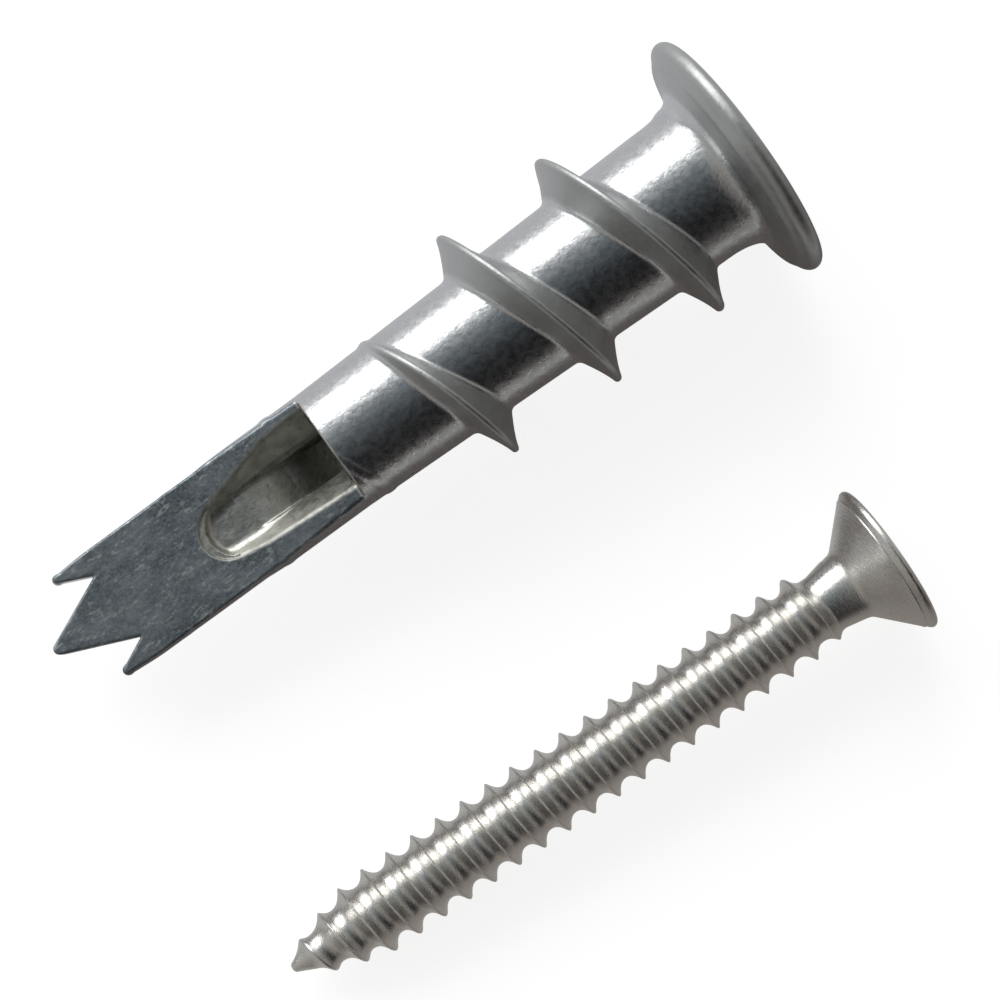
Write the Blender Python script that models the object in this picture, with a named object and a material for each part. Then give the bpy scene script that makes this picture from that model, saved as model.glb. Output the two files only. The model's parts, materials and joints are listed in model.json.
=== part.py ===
"""Self-drilling wall anchor and its screw, laid side by side on a flat surface.

Two pieces. anchor_body is one zinc die-casting: a three-point blade with an open trough, a tapered
barrel with a coarse right-hand fin thread, and a flanged head with a seat for the screw. screw is a
countersunk self-tapping screw with a cross recess.

Each piece is modelled along its own x axis, with its tip at x = 0 and its head towards +x, and is
then laid down by its parent empty. Lengths are in millimetres until a mesh is made in metres.
"""

import math

import bmesh
import bpy
import numpy as np

MM = 0.001

# Anchor: stations along its axis, from the tip of the centre spur.
TOOTH_TIP_X = 1.98
NOTCH_X = 3.86
SQUARE_EDGE_END_X = 10.6
TROUGH_TIP_X = 8.8
SHOULDER_X = 16.85
NECK_X = 38.0
JUNCTION_X = 40.4
RIM_CENTRE_X = 41.6
ANCHOR_LENGTH = 42.05

# Anchor: blade. Heights are measured from the axis, the front face being towards +z.
BLADE_HALF_WIDTH = 3.14
SPUR_ROOT_HALF_WIDTH = 1.88
SPUR_TIP_RADIUS = 0.3
TOOTH_TIP_RADIUS = 0.19
TOOTH_LEAN = 0.13
FRONT_AT_TIP = 0.75
FRONT_AT_SQUARE_END = 1.0
FRONT_AT_SHOULDER = 1.5
BACK_AT_TIP = -0.75
BACK_BEND_X = 6.5
BACK_AT_SHOULDER = -2.75

# Anchor: trough and bore.
TROUGH_TIP_HALF_WIDTH = 1.15
TROUGH_HALF_WIDTH = 2.32
TROUGH_TIP_DEPTH = 0.35
TROUGH_NOSE_LENGTH = 0.35
TROUGH_NOSE_SHARE = 0.55
TROUGH_FULLNESS = 0.7
TROUGH_END_X = 17.15
BORE_RADIUS = 1.75
BORE_START_X = 15.95
SLOT_START_X = 17.45
SLOT_WIDTH = 2.2
SLOT_SPAN = 4.6
SEAT_RADIUS = 4.15
DRIVE_SPAN = 6.4
DRIVE_WIDTH = 2.0
DRIVE_DEPTH = 3.2

# Anchor: barrel, thread and head.
BARREL_TIP_RADIUS = 3.25
BARREL_SHOULDER_RADIUS = 3.27
BARREL_NECK_RADIUS = 3.86
JUNCTION_RADIUS = 4.34
NECK_FLARE_POWER = 3
RIM_RADIUS = 6.8
RIM_ROUND = 0.45
FIN_PITCH = 6.16
FIN_HEIGHT = 1.93
FIN_TIP_HALF = 0.22
FIN_MIDDLE_HALF = 0.45
FIN_ROOT_HALF = 1.0
FIN_START_X = 21.0
FIN_FULL_START_X = 24.0
FIN_FULL_END_X = 36.7
FIN_END_X = 38.9
FIN_CREST_X = 27.3
MOULDED_SWAY = 0.06  # just over the most that moulded_path strays from a helix, in turns

# Screw: stations along its axis, from its point.
SCREW_LENGTH = 35.78
POINT_LENGTH = 4.5
SCREW_THREAD_FULL_END_X = 30.8
SCREW_THREAD_END_X = 32.5
SCREW_PITCH = 1.48
SCREW_ROOT_RADIUS = 1.57
SCREW_CREST_RADIUS = 2.12
SCREW_NECK_RADIUS = 1.78
SCREW_HEAD_RADIUS = 4.02
SCREW_HEAD_EDGE = 0.55
SCREW_HEAD_BEVEL = 0.35
SCREW_POINT_RADIUS = 0.1
SCREW_POINT_FULLNESS = 0.6
SCREW_CREST_HALF = 0.09
SCREW_FLANK_HALF = 0.46
SCREW_CREST_X = 15.87
SCREW_CREST_ANGLE = math.radians(10)
RECESS_SPAN = 4.4
RECESS_WIDTH = 1.0
RECESS_DEPTH = 2.2

# How the two pieces lie. Each rests on the rim of its head and on its thread.
ANCHOR_ROLL = math.radians(4)
SCREW_YAW = math.radians(-1.65)
SCREW_TIP_OFFSET = (0.45, -19.36)

ANCHOR_SIDES = 48
SCREW_SIDES = 20
SLICES = 8
CLEAR = 1.0


def clear_scene():
    for obj in list(bpy.data.objects):
        bpy.data.objects.remove(obj)


def material(name, colour, roughness, metallic):
    made = bpy.data.materials.new(name)
    made.use_nodes = True
    shader = made.node_tree.nodes["Principled BSDF"]
    shader.inputs["Base Color"].default_value = (*colour, 1)
    shader.inputs["Roughness"].default_value = roughness
    shader.inputs["Metallic"].default_value = metallic
    made.diffuse_color = (*colour, 1)
    return made


def mix(start, end, share):
    """The value a share of the way from start to end, held at the ends."""
    return start + (end - start) * min(max(share, 0.0), 1.0)


def mesh_object(name, points, faces, look=None, cutter=False):
    """A new object from points in millimetres, with its faces turned outwards."""
    mesh = bpy.data.meshes.new(name)
    mesh.from_pydata([tuple(MM * value for value in point) for point in points], [], faces)
    work = bmesh.new()
    work.from_mesh(mesh)
    bmesh.ops.recalc_face_normals(work, faces=work.faces)
    work.to_mesh(mesh)
    work.free()
    obj = bpy.data.objects.new(name, mesh)
    bpy.context.scene.collection.objects.link(obj)
    if look:
        mesh.materials.append(look)
    if cutter:
        obj.hide_render = True
        obj.display_type = "WIRE"
    return obj


def ring(x, radius, sides):
    """Points of a circle round the x axis, from +y towards +z."""
    turns = [2 * math.pi * side / sides for side in range(sides)]
    return [(x, radius * math.cos(turn), radius * math.sin(turn)) for turn in turns]


def bridged(first, second, sides):
    """Quads between two rings, given the index of each ring's first point."""
    return [
        (first + side, first + (side + 1) % sides, second + (side + 1) % sides, second + side)
        for side in range(sides)
    ]


def arc(centre_x, centre_r, radius, start, end, steps):
    """Profile points (x, r) of an arc, with its angles in degrees from the x axis."""
    angles = [math.radians(mix(start, end, step / steps)) for step in range(steps + 1)]
    return [(centre_x + radius * math.cos(a), centre_r + radius * math.sin(a)) for a in angles]


def turned(profile, sides):
    """Points and faces of a closed solid turned round the x axis from (x, r) points."""
    points = [point for x, radius in profile for point in ring(x, radius, sides)]
    faces = []
    for index in range(len(profile) - 1):
        faces += bridged(index * sides, (index + 1) * sides, sides)
    last = (len(profile) - 1) * sides
    faces.append(tuple(range(sides)))
    faces.append(tuple(range(last, last + sides)))
    return points, faces


def prism(outline, low, high, place):
    """Points and faces of an outline extruded from low to high; place(u, v, w) gives a point."""
    count = len(outline)
    points = [place(u, v, low) for u, v in outline] + [place(u, v, high) for u, v in outline]
    faces = bridged(0, count, count)
    faces.append(tuple(range(count)))
    faces.append(tuple(range(count, 2 * count)))
    return points, faces


def flat_on_top(u, v, w):
    return u, v, w


def side_on(u, v, w):
    return u, w, v


def threaded_shaft(before, after, thread, sides):
    """Points and faces of a shaft whose middle carries a wound ridge.

    before and after are the turned profiles at each end. thread has the ridge: its pitch, the x and
    the angle of one crest, the offsets from the crest over one pitch, radius(x, offset_index), and
    path(turns), which is how many pitches the ridge has gone along after that many turns.
    The threaded surface is one strip wound round the axis, each turn sharing its edge with the last.
    """
    pitch, offsets, path = thread["pitch"], thread["offsets"], thread["path"]
    low_limit = (before[-1][0] - offsets[0] - thread["crest_x"]) / pitch
    high_limit = (after[0][0] - offsets[-1] - thread["crest_x"]) / pitch
    first = math.ceil((low_limit + thread["sway"]) * sides)
    last = math.floor((high_limit - thread["sway"]) * sides)
    across = len(offsets)

    points = []
    for column in range(first, last + 1):
        turn = thread["crest_angle"] + 2 * math.pi * column / sides
        for index, offset in enumerate(offsets):
            x = thread["crest_x"] + pitch * path(column / sides) + offset
            radius = thread["radius"](x, index)
            points.append((x, radius * math.cos(turn), radius * math.sin(turn)))
    columns = last - first + 1

    def at(column, index):
        """Index of a point, where running past the profile's end enters the next turn."""
        if index == across:
            return (column + sides) * across if column + sides < columns else None
        return column * across + index

    faces = []
    for column in range(columns - 1):
        for index in range(across):
            corners = (at(column, index), at(column, index + 1),
                       at(column + 1, index + 1), at(column + 1, index))
            if None not in corners:
                faces.append(corners)

    low_edge = [at(column, 0) for column in range(sides)]
    low_step = [at(0, index) for index in range(1, across + 1)]
    low_turn = thread["crest_angle"] + 2 * math.pi * first / sides
    high_edge = [at(columns - sides + side, across - 1) for side in range(sides)]
    high_step = [at(columns - 1, index) for index in range(across - 1)]
    high_step.insert(0, at(columns - 1 - sides, across - 1))
    high_turn = low_turn + 2 * math.pi * (columns - 1) / sides

    def end_rings(profile, start_turn):
        start = len(points)
        for x, radius in profile:
            for side in range(sides):
                turn = start_turn + 2 * math.pi * side / sides
                points.append((x, radius * math.cos(turn), radius * math.sin(turn)))
        for index in range(len(profile) - 1):
            faces.extend(bridged(start + index * sides, start + (index + 1) * sides, sides))
        return start, start + (len(profile) - 1) * sides

    start, inner = end_rings(before, low_turn)
    faces.append(tuple(range(start, start + sides)))
    for side in range(sides - 1):
        faces.append((inner + side, inner + side + 1, low_edge[side + 1], low_edge[side]))
    faces.append((inner + sides - 1, inner, low_edge[0], *low_step, low_edge[-1]))

    inner, end = end_rings(after, high_turn + 2 * math.pi / sides)
    faces.append(tuple(range(end, end + sides)))
    for side in range(sides - 1):
        faces.append((inner + side, inner + side + 1, high_edge[side + 1], high_edge[side]))
    faces.append((inner + sides - 1, inner, high_edge[0], *high_step, high_edge[-1]))
    return points, faces


def cut(obj, cutter, operation="DIFFERENCE"):
    modifier = obj.modifiers.new(cutter.name, "BOOLEAN")
    modifier.operation = operation
    modifier.solver = "EXACT"
    modifier.object = cutter
    cutter.parent = obj


def shade(obj, angle):
    obj.data.shade_smooth()
    obj.data.set_sharp_from_angle(angle=math.radians(angle))


def barrel_radius(x):
    """Radius of the barrel, nearly straight beside the blade, tapered, then flared at the neck."""
    if x < SHOULDER_X:
        return mix(BARREL_TIP_RADIUS, BARREL_SHOULDER_RADIUS, x / SHOULDER_X)
    if x < NECK_X:
        share = (x - SHOULDER_X) / (NECK_X - SHOULDER_X)
        return mix(BARREL_SHOULDER_RADIUS, BARREL_NECK_RADIUS, share)
    flare = ((x - NECK_X) / (JUNCTION_X - NECK_X)) ** NECK_FLARE_POWER
    return BARREL_NECK_RADIUS + (JUNCTION_RADIUS - BARREL_NECK_RADIUS) * flare


def moulded_path(turns):
    """Pitches gone along by a ridge whose every half turn lies in one plane.

    The casting's mould parts along the two edges of the blade, so the ridge leans one way on the
    front, the other way on the back, and bends only where the two halves meet.
    """
    half_turns = math.floor(2 * turns)
    within = 2 * turns - half_turns
    return (half_turns + (1 - math.cos(math.pi * within)) / 2) / 2


def helical_path(turns):
    return turns


def anchor_fin():
    """The anchor's thread: a tall thin fin that runs in and out of the barrel."""
    half = FIN_PITCH / 2
    offsets = [-half, -FIN_ROOT_HALF, -FIN_MIDDLE_HALF, -FIN_TIP_HALF,
               FIN_TIP_HALF, FIN_MIDDLE_HALF, FIN_ROOT_HALF]
    shares = [0, 0, 0.42, 1, 1, 0.42, 0]

    def radius(x, index):
        crest_x = x - offsets[index]
        rise = (crest_x - FIN_START_X) / (FIN_FULL_START_X - FIN_START_X)
        fall = (FIN_END_X - crest_x) / (FIN_END_X - FIN_FULL_END_X)
        return barrel_radius(x) + FIN_HEIGHT * shares[index] * mix(0, 1, min(rise, fall))

    return {"pitch": FIN_PITCH, "crest_x": FIN_CREST_X, "crest_angle": 0, "offsets": offsets,
            "radius": radius, "path": moulded_path, "sway": MOULDED_SWAY}


def anchor_head_profile():
    """The flange: the end of the neck, the sloping back, the round rim and the flat face."""
    rim = arc(RIM_CENTRE_X, RIM_RADIUS - RIM_ROUND, RIM_ROUND, 155, 0, 7)
    return [(JUNCTION_X, JUNCTION_RADIUS)] + rim


def blade_outline():
    """The blade seen from the front: centre spur, a V notch each side, and two outer teeth."""
    tooth = (TOOTH_TIP_X + TOOTH_TIP_RADIUS, BLADE_HALF_WIDTH - TOOTH_LEAN - TOOTH_TIP_RADIUS)
    half = [(NOTCH_X, SPUR_ROOT_HALF_WIDTH)] + arc(*tooth, TOOTH_TIP_RADIUS, 270, 135, 3)
    half.append((NOTCH_X, BLADE_HALF_WIDTH))
    half.append((SQUARE_EDGE_END_X, BLADE_HALF_WIDTH))
    wide = RIM_RADIUS + CLEAR
    half += [(SQUARE_EDGE_END_X, wide), (ANCHOR_LENGTH + CLEAR, wide)]

    lean = math.atan2(SPUR_ROOT_HALF_WIDTH - SPUR_TIP_RADIUS, NOTCH_X - SPUR_TIP_RADIUS)
    first = 90 + math.degrees(lean)
    tip = arc(SPUR_TIP_RADIUS, 0, SPUR_TIP_RADIUS, first, 360 - first, 4)
    mirrored = [(x, -y) for x, y in half]
    return half[::-1] + tip + mirrored


def cut_blade(anchor):
    """Trims the blade to its outline and to its front and back faces."""
    reach = RIM_RADIUS + CLEAR
    outline = prism(blade_outline(), -reach, reach, flat_on_top)
    cut(anchor, mesh_object("blade_outline", *outline, cutter=True), "INTERSECT")

    front = [(-CLEAR, FRONT_AT_TIP), (0, FRONT_AT_TIP), (SQUARE_EDGE_END_X, FRONT_AT_SQUARE_END),
             (SHOULDER_X, FRONT_AT_SHOULDER), (SHOULDER_X, reach), (-CLEAR, reach)]
    cut(anchor, mesh_object("front_face", *prism(front, -reach, reach, side_on), cutter=True))

    back = [(-CLEAR, BACK_AT_TIP), (BACK_BEND_X, BACK_AT_TIP),
            (SHOULDER_X, BACK_AT_SHOULDER), (SHOULDER_X, -reach), (-CLEAR, -reach)]
    cut(anchor, mesh_object("back_face", *prism(back, -reach, reach, side_on), cutter=True))


def trough_section(share):
    """One U-shaped section of the trough, at a share of the way from its tip to the shoulder."""
    x = mix(TROUGH_TIP_X, SHOULDER_X, share)
    half = mix(TROUGH_TIP_HALF_WIDTH, TROUGH_HALF_WIDTH, math.sin(share * math.pi / 2))
    top = mix(FRONT_AT_SQUARE_END, FRONT_AT_SHOULDER, share)
    depth = mix(TROUGH_TIP_DEPTH, top + BORE_RADIUS, share)
    section = []
    for step in range(SLICES + 1):
        turn = math.pi * step / SLICES
        z = top - depth * math.sin(turn) ** TROUGH_FULLNESS
        section.append((x, half * math.cos(turn), z))
    return [(x, half, top + CLEAR)] + section + [(x, -half, top + CLEAR)]


def cut_trough(anchor):
    """The open trough, which deepens from its round tip to the mouth of the bore."""
    sections = [trough_section(step / SLICES) for step in range(SLICES + 1)]
    nose_x = TROUGH_TIP_X - TROUGH_NOSE_LENGTH
    nose = [(nose_x, y * TROUGH_NOSE_SHARE, z) for _, y, z in sections[0]]
    stub = [(TROUGH_END_X, y, min(z, FRONT_AT_SHOULDER)) for _, y, z in sections[-1]]
    sections = [nose] + sections + [stub]
    count = len(nose)
    points = [point for section in sections for point in section]
    faces = [tuple(range(count)), tuple(range(len(points) - count, len(points)))]
    for index in range(len(sections) - 1):
        faces += bridged(index * count, (index + 1) * count, count)
    cut(anchor, mesh_object("trough", points, faces, cutter=True))


def cut_bore(anchor):
    """The bore for the screw, four slots beside it, the screw's seat and the cross drive."""
    mouth = ANCHOR_LENGTH + CLEAR
    bore = turned([(BORE_START_X, BORE_RADIUS), (mouth, BORE_RADIUS)], ANCHOR_SIDES // 2)
    cut(anchor, mesh_object("bore", *bore, cutter=True))
    slot, span = SLOT_WIDTH / 2, SLOT_SPAN / 2
    upright = [(-slot, -span), (slot, -span), (slot, span), (-slot, span)]
    level = [(-span, -slot), (span, -slot), (span, slot), (-span, slot)]

    def along(u, v, w):
        return w, u, v

    for name, outline in (("upright_slot", upright), ("level_slot", level)):
        cut(anchor, mesh_object(name, *prism(outline, SLOT_START_X, mouth, along), cutter=True))
    seat_depth = SEAT_RADIUS - BORE_RADIUS / 2
    seat = turned([(ANCHOR_LENGTH - seat_depth, BORE_RADIUS / 2), (ANCHOR_LENGTH, SEAT_RADIUS),
                   (mouth, SEAT_RADIUS)], ANCHOR_SIDES)
    cut(anchor, mesh_object("seat", *seat, cutter=True))
    cut_cross(anchor, ANCHOR_LENGTH, DRIVE_SPAN, DRIVE_WIDTH, DRIVE_DEPTH, "drive")


def cut_cross(obj, face_x, span, width, depth, name):
    """A cross recess, each of its two wings narrowing with depth."""
    reach, half = span / 2, width / 2
    levels = [(face_x + CLEAR, reach, half), (face_x, reach, half),
              (face_x - depth, reach / 4, half * 0.8)]
    for wing in ("upright", "level"):
        points = []
        for x, reach, half in levels:
            corners = [(-half, -reach), (half, -reach), (half, reach), (-half, reach)]
            points += [(x, u, v) if wing == "upright" else (x, v, u) for u, v in corners]
        faces = [(0, 1, 2, 3), (8, 9, 10, 11)] + bridged(0, 4, 4) + bridged(4, 8, 4)
        cut(obj, mesh_object(f"{name}_{wing}", points, faces, cutter=True))


def anchor_body(look):
    """The die-casting, cut from one threaded and flanged blank."""
    before = [(-CLEAR, BARREL_TIP_RADIUS), (SHOULDER_X, BARREL_SHOULDER_RADIUS)]
    points, faces = threaded_shaft(before, anchor_head_profile(), anchor_fin(), ANCHOR_SIDES)
    anchor = mesh_object("anchor_body", points, faces, look)
    cut_blade(anchor)
    cut_trough(anchor)
    cut_bore(anchor)
    shade(anchor, 40)
    return anchor


def screw_root(x):
    """Root radius along the screw: a curved point, then a straight shank."""
    if x >= POINT_LENGTH:
        return SCREW_ROOT_RADIUS
    return SCREW_ROOT_RADIUS * max(x / POINT_LENGTH, 0.0) ** SCREW_POINT_FULLNESS


def screw_thread():
    """The screw's thread, from its point to just under the head."""
    half = SCREW_PITCH / 2
    offsets = [-half, -SCREW_FLANK_HALF, -SCREW_CREST_HALF, SCREW_CREST_HALF, SCREW_FLANK_HALF]
    shares = [0, 0, 1, 1, 0]
    full_height = SCREW_CREST_RADIUS - SCREW_ROOT_RADIUS

    def radius(x, index):
        crest_x = x - offsets[index]
        grow = mix(0.5, 1, crest_x / POINT_LENGTH)
        fall = (SCREW_THREAD_END_X - crest_x) / (SCREW_THREAD_END_X - SCREW_THREAD_FULL_END_X)
        return screw_root(x) + full_height * shares[index] * mix(0, 1, min(grow, fall))

    return {"pitch": SCREW_PITCH, "crest_x": SCREW_CREST_X, "crest_angle": SCREW_CREST_ANGLE,
            "offsets": offsets, "radius": radius, "path": helical_path, "sway": 0}


def screw(look):
    """The countersunk self-tapping screw."""
    edge_x = SCREW_LENGTH - SCREW_HEAD_EDGE
    cone_x = edge_x - (SCREW_HEAD_RADIUS - SCREW_NECK_RADIUS)
    before = [(-SCREW_POINT_RADIUS / 2, SCREW_POINT_RADIUS), (0, 2 * SCREW_POINT_RADIUS)]
    after = [(SCREW_THREAD_END_X + SCREW_FLANK_HALF, SCREW_NECK_RADIUS),
             (cone_x, SCREW_NECK_RADIUS)]
    after += arc(SCREW_LENGTH - SCREW_HEAD_BEVEL, SCREW_HEAD_RADIUS - SCREW_HEAD_BEVEL,
                 SCREW_HEAD_BEVEL, 120, 0, 4)
    points, faces = threaded_shaft(before, after, screw_thread(), SCREW_SIDES)
    made = mesh_object("screw", points, faces, look)
    cut_cross(made, SCREW_LENGTH, RECESS_SPAN, RECESS_WIDTH, RECESS_DEPTH, "recess")
    shade(made, 40)
    return made


def lay_down(obj, name, tip, roll, rise, yaw):
    """Parents a piece to an empty at its tip and rests it on z = 0 with its head end raised."""
    pose = bpy.data.objects.new(name, None)
    bpy.context.scene.collection.objects.link(pose)
    pose.rotation_euler = (roll, -rise, yaw)
    pose.location = (tip[0] * MM, tip[1] * MM, 0)
    obj.parent = pose
    bpy.context.view_layer.update()
    corners = world_points(obj)
    pose.location.z = -corners[:, 2].min()
    bpy.context.view_layer.update()
    return pose


def world_points(obj):
    """The finished piece's points in world space, with its modifiers applied."""
    evaluated = obj.evaluated_get(bpy.context.evaluated_depsgraph_get())
    mesh = evaluated.to_mesh()
    points = np.empty(len(mesh.vertices) * 3)
    mesh.vertices.foreach_get("co", points)
    evaluated.to_mesh_clear()
    world = np.array(obj.matrix_world)
    return points.reshape(-1, 3) @ world[:3, :3].T + world[:3, 3]


def centre_over_origin(pieces, poses):
    """Moves both pieces so that the middle of their common footprint is at the origin."""
    points = np.concatenate([world_points(piece) for piece in pieces])
    middle = (points.min(axis=0) + points.max(axis=0)) / 2
    for pose in poses:
        pose.location.x -= middle[0]
        pose.location.y -= middle[1]


def main():
    clear_scene()
    zinc = material("cast_zinc", (0.42, 0.43, 0.43), 0.42, 1.0)
    steel = material("bright_steel", (0.62, 0.60, 0.57), 0.25, 1.0)
    anchor = anchor_body(zinc)
    fastener = screw(steel)

    fin_radius = barrel_radius(FIN_FULL_START_X) + FIN_HEIGHT
    anchor_rise = math.atan2(RIM_RADIUS - fin_radius, RIM_CENTRE_X - FIN_FULL_START_X)
    first_full_turn = POINT_LENGTH + SCREW_PITCH
    screw_rise = math.atan2(SCREW_HEAD_RADIUS - SCREW_CREST_RADIUS, SCREW_LENGTH - first_full_turn)
    poses = [
        lay_down(anchor, "anchor_pose", (0, 0), ANCHOR_ROLL, anchor_rise, 0),
        lay_down(fastener, "screw_pose", SCREW_TIP_OFFSET, 0, screw_rise, SCREW_YAW),
    ]
    centre_over_origin([anchor, fastener], poses)


main()
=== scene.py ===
"""Looks of the wall anchor and its screw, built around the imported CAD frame.

The anchor is a die-casting, so its skin is one implicit surface: every edge is slightly rounded
and every corner slightly filled, as a mould leaves them. The screw is rolled steel, so its thread
is a swept strip with a turned head. Both are modelled in millimetres along their own x axis, from
the tip at x = 0 to the head, and are then placed on the CAD pieces by the record's mounts.
"""

import json
import math

import bmesh
import bpy
import numpy as np
from mathutils import Matrix, Vector


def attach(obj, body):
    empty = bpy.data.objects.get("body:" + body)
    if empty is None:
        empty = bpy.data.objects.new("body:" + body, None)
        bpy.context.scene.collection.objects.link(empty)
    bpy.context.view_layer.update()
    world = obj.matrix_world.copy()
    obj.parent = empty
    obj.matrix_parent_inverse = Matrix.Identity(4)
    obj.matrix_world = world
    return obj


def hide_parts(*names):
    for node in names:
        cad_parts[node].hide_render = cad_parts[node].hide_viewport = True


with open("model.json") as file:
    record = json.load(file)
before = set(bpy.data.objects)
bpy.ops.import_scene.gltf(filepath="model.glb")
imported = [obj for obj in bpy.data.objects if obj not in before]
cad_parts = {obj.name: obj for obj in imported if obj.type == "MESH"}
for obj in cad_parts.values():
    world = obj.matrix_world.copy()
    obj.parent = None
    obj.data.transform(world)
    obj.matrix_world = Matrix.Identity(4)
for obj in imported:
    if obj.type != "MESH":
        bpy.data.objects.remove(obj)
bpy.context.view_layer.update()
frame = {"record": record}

MM = 0.001
TINY = 1e-9

# Anchor stations along its axis.
TOOTH_TIP_X = 2.11
NOTCH_X = 3.87
BACK_BEND_X = 6.5
TROUGH_TIP_X = 9.0
SQUARE_EDGE_END_X = 10.6
SLOT_START_X = 11.5
LOWER_BEND_X = 11.8
SHELF_X = 14.4
SHOULDER_X = 16.85
NECK_X = 38.0
JUNCTION_X = 40.4
RIM_CENTRE_X = 41.6
ANCHOR_LENGTH = 42.05

# Blade: its outline from the front, and its faces as (x, height above the axis).
OUTLINE_SKEW = 0.045
BLADE_HALF_WIDTH = 3.14
SPUR_ROOT_HALF_WIDTH = 1.88
SPUR_TIP_RADIUS = 0.3
TOOTH_TIP_RADIUS = 0.19
TOOTH_LEAN = 0.13
TOOTH_BEAD_RADIUS = 0.27
TOOTH_BEAD_HEIGHT = 0.35
SHELF_WIDENING = 0.5
BACK_CUT_RUN = 0.4
FRONT_HEIGHTS = ((0, 0.75), (SQUARE_EDGE_END_X, 1.0), (SHOULDER_X, 1.5))
BACK_HEIGHTS = ((0, -0.75), (BACK_BEND_X, -0.75), (SHOULDER_X, -2.75))

# Trough: half widths of its opening on either side, as (x, half width), its walls and its nose.
UPPER_EDGE = ((TROUGH_TIP_X, 0.95), (SHELF_X, 2.39), (SHOULDER_X, 2.47))
LOWER_EDGE = ((TROUGH_TIP_X, 1.35), (LOWER_BEND_X, 1.88), (SHOULDER_X, 2.22))
TROUGH_TIP_DEPTH = 0.42
WALL_RUN = 0.8
NOSE_RUN = 0.5
NOSE_CENTRE_Y = -0.2
NOSE_CURVE = 0.38
LIP_DEPTH = 0.17
LIP_WIDTH = 0.3
LIP_LENGTH = 1.2
SHELF_HEIGHT = -0.1

# Bore, seat and drive. Hollows that meet end to end run into each other by HOLLOW_OVERLAP.
HOLLOW_OVERLAP = 0.02
BORE_RADIUS = 1.75
SLOT_HALF_WIDTH = 1.08
SLOT_REACH = 2.3
SEAT_RADIUS = 4.15
SEAT_SLOPE = math.radians(45)
DRIVE_REACH = 3.2
DRIVE_TIP_REACH = DRIVE_REACH / 4
DRIVE_HALF_WIDTH = 1.0
DRIVE_DEPTH = 3.2

# Barrel, fin thread and flange.
BARREL_TIP_RADIUS = 3.25
BARREL_SHOULDER_RADIUS = 3.27
BARREL_NECK_RADIUS = 3.86
JUNCTION_RADIUS = 4.34
RIM_RADIUS = 6.8
RIM_ROUND = 0.45
RIDGE_RADIUS = 6.0
RIDGE_HALF_WIDTH = 0.35
RIDGE_HEIGHT = 0.14
FIN_PITCH = 6.16
FIN_HEIGHT = 1.93
FIN_LEAST_HEIGHT = 0.01
FIN_TIP_HALF = 0.16
FIN_ROOT_HALF = 1.05
FIN_HOLLOW = 1.3
FIN_CREST_X = 27.3
FIN_RISE_X = (21.0, 24.0)
FIN_FALL_X = (36.7, 38.9)

# How far each edge is rounded over, and each corner filled.
EDGE_ROUND = 0.14
SIDE_ROUND = 0.05
FIN_CREST_ROUND = 0.16
FLOOR_ROUND = 0.25
NOSE_ROUND = 0.2
SLOT_ROUND = 0.2
LIP_ROUND = 0.4
CORNER_FILL = 0.3
FIN_FILL = 0.22
NOTCH_FILL = 0.12
BEAD_FILL = 0.2

# A sloping face's field grows faster than the distance, so it is scaled down.
FLANK_SCALE = 0.9
WALL_SCALE = 0.75

# The finish changes over these distances from the hollows, the blade's face and the barrel.
HOLLOW_FADE = (0.03, 0.15)
FACE_FADE = (0.08, 0.2)
RAISED_FADE = (0.15, 0.4)
FACE_MARGIN = 0.1

NET_STEP = 0.09
ANCHOR_TRIANGLES = 185_000

# Screw: its shank and point.
SCREW_LENGTH = 35.78
POINT_LENGTH = 4.5
POINT_CURVE = 0.55
POINT_RINGS = ((-0.02, 0.05), (0.0, 0.14), (0.06, 0.24))
SCREW_ROOT_RADIUS = 1.55

# Its thread, which is full up to one station and gone at the next; one crest's place is known.
SCREW_PITCH = 1.48
SCREW_CREST_RADIUS = 2.14
SCREW_CREST_X = 15.87
SCREW_CREST_ANGLE = math.radians(10)
THREAD_START_X = 0.12
THREAD_START_SHARE = 0.4
THREAD_FULL_END_X = 31.0
THREAD_END_X = 32.1
THREAD_CURVE = 2.3
THREAD_OVERSHOOT = 1.12
THREAD_CREST_ROUND = 0.1

# Its neck and head.
SCREW_NECK_X = 32.85
SCREW_NECK_RADIUS = 1.78
SCREW_SWELL_X = (SCREW_NECK_X - 1.15, SCREW_NECK_X - 0.15)
NECK_FLARE = ((0, 0), (0.25, 0.05), (0.43, 0.1), (0.55, 0.18))
CONE_START = (0.67, 0.3)
SCREW_HEAD_RADIUS = 4.02
SCREW_HEAD_EDGE = 0.22
SCREW_RING_DEPTH = 0.62
SCREW_RING_INSET = 0.26
SCREW_RING_BEAD = 0.06
RECESS_REACH = 2.2
RECESS_HALF_WIDTH = 0.5
RECESS_DEPTH = 2.2
RECESS_TIP_REACH_SHARE = 0.3
RECESS_TIP_WIDTH_SHARE = 0.7

# How finely it is divided: round the axis, and across one pitch, closer together at the crest.
SCREW_SIDES = 72
SCREW_SLICES = 24
CREST_CROWDING = 0.45
THREAD_STEP = SCREW_PITCH / SCREW_SIDES
SCREW_SMOOTH_ANGLE = 38

# How the pieces lie: the roll of each, and where its mount is in its own axes.
ANCHOR_ROLL = math.radians(4)
FLANGE_MOUNT_HEIGHT = 5.25
SCREW_MOUNT_HEIGHT = 2.93

# The floor and the backdrop as they are seen.
FLOOR_COLOUR = (0.35, 0.35, 0.35)
FLOOR_GLOW = (0.84, 0.84, 0.84)
BACKDROP_COLOUR = (0.9, 0.9, 0.9)
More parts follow.
